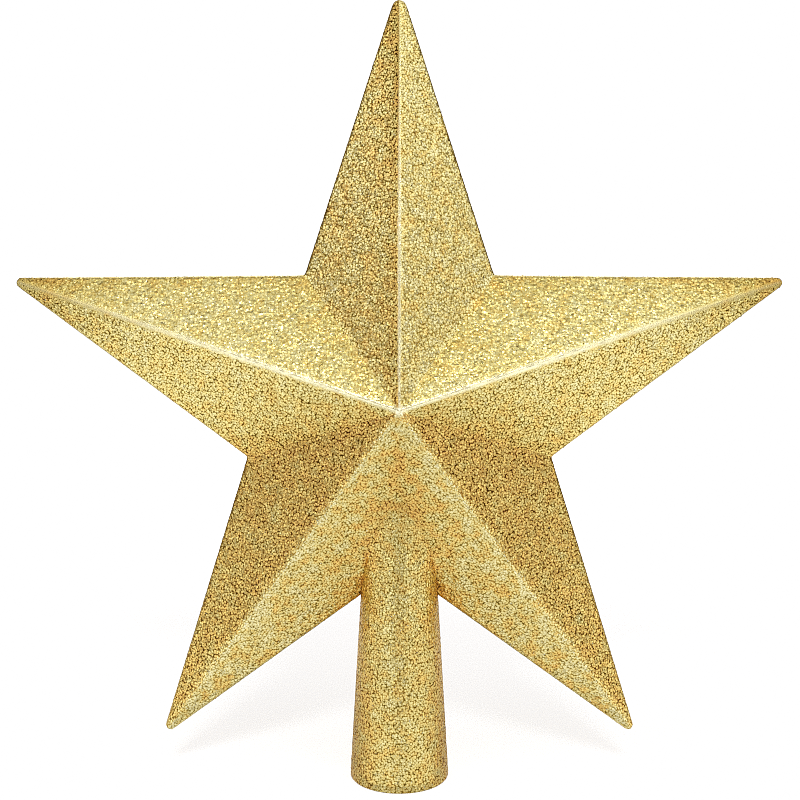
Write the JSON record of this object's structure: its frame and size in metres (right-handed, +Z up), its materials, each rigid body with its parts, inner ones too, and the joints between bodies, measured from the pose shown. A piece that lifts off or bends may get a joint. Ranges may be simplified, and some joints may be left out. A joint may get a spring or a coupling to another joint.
{
  "type": "christmas tree topper star",
  "caption": "Hollow two-faced star with ridged arms and a gold glitter coat, on a tapered socket that slips over the top shoot of a tree.",
  "frame": {"origin": "middle of the socket's mouth, on the plane the star stands on", "axes": "+Z up along the socket's axis, +X to the star's right seen from the front, the front face looks along -Y"},
  "size_m": [0.1978, 0.0388, 0.201],
  "materials": {
    "gold_plastic": "moulded, semi-gloss",
    "clear_cement": "clear, dried",
    "gold_glitter": "metallic glitter flakes in lacquer"
  },
  "bodies": {
    "root": {"front_shell": "gold_plastic", "rear_shell": "gold_plastic", "seam_cement": "clear_cement", "glitter_coat": "gold_glitter"}
  },
  "joints": []
}
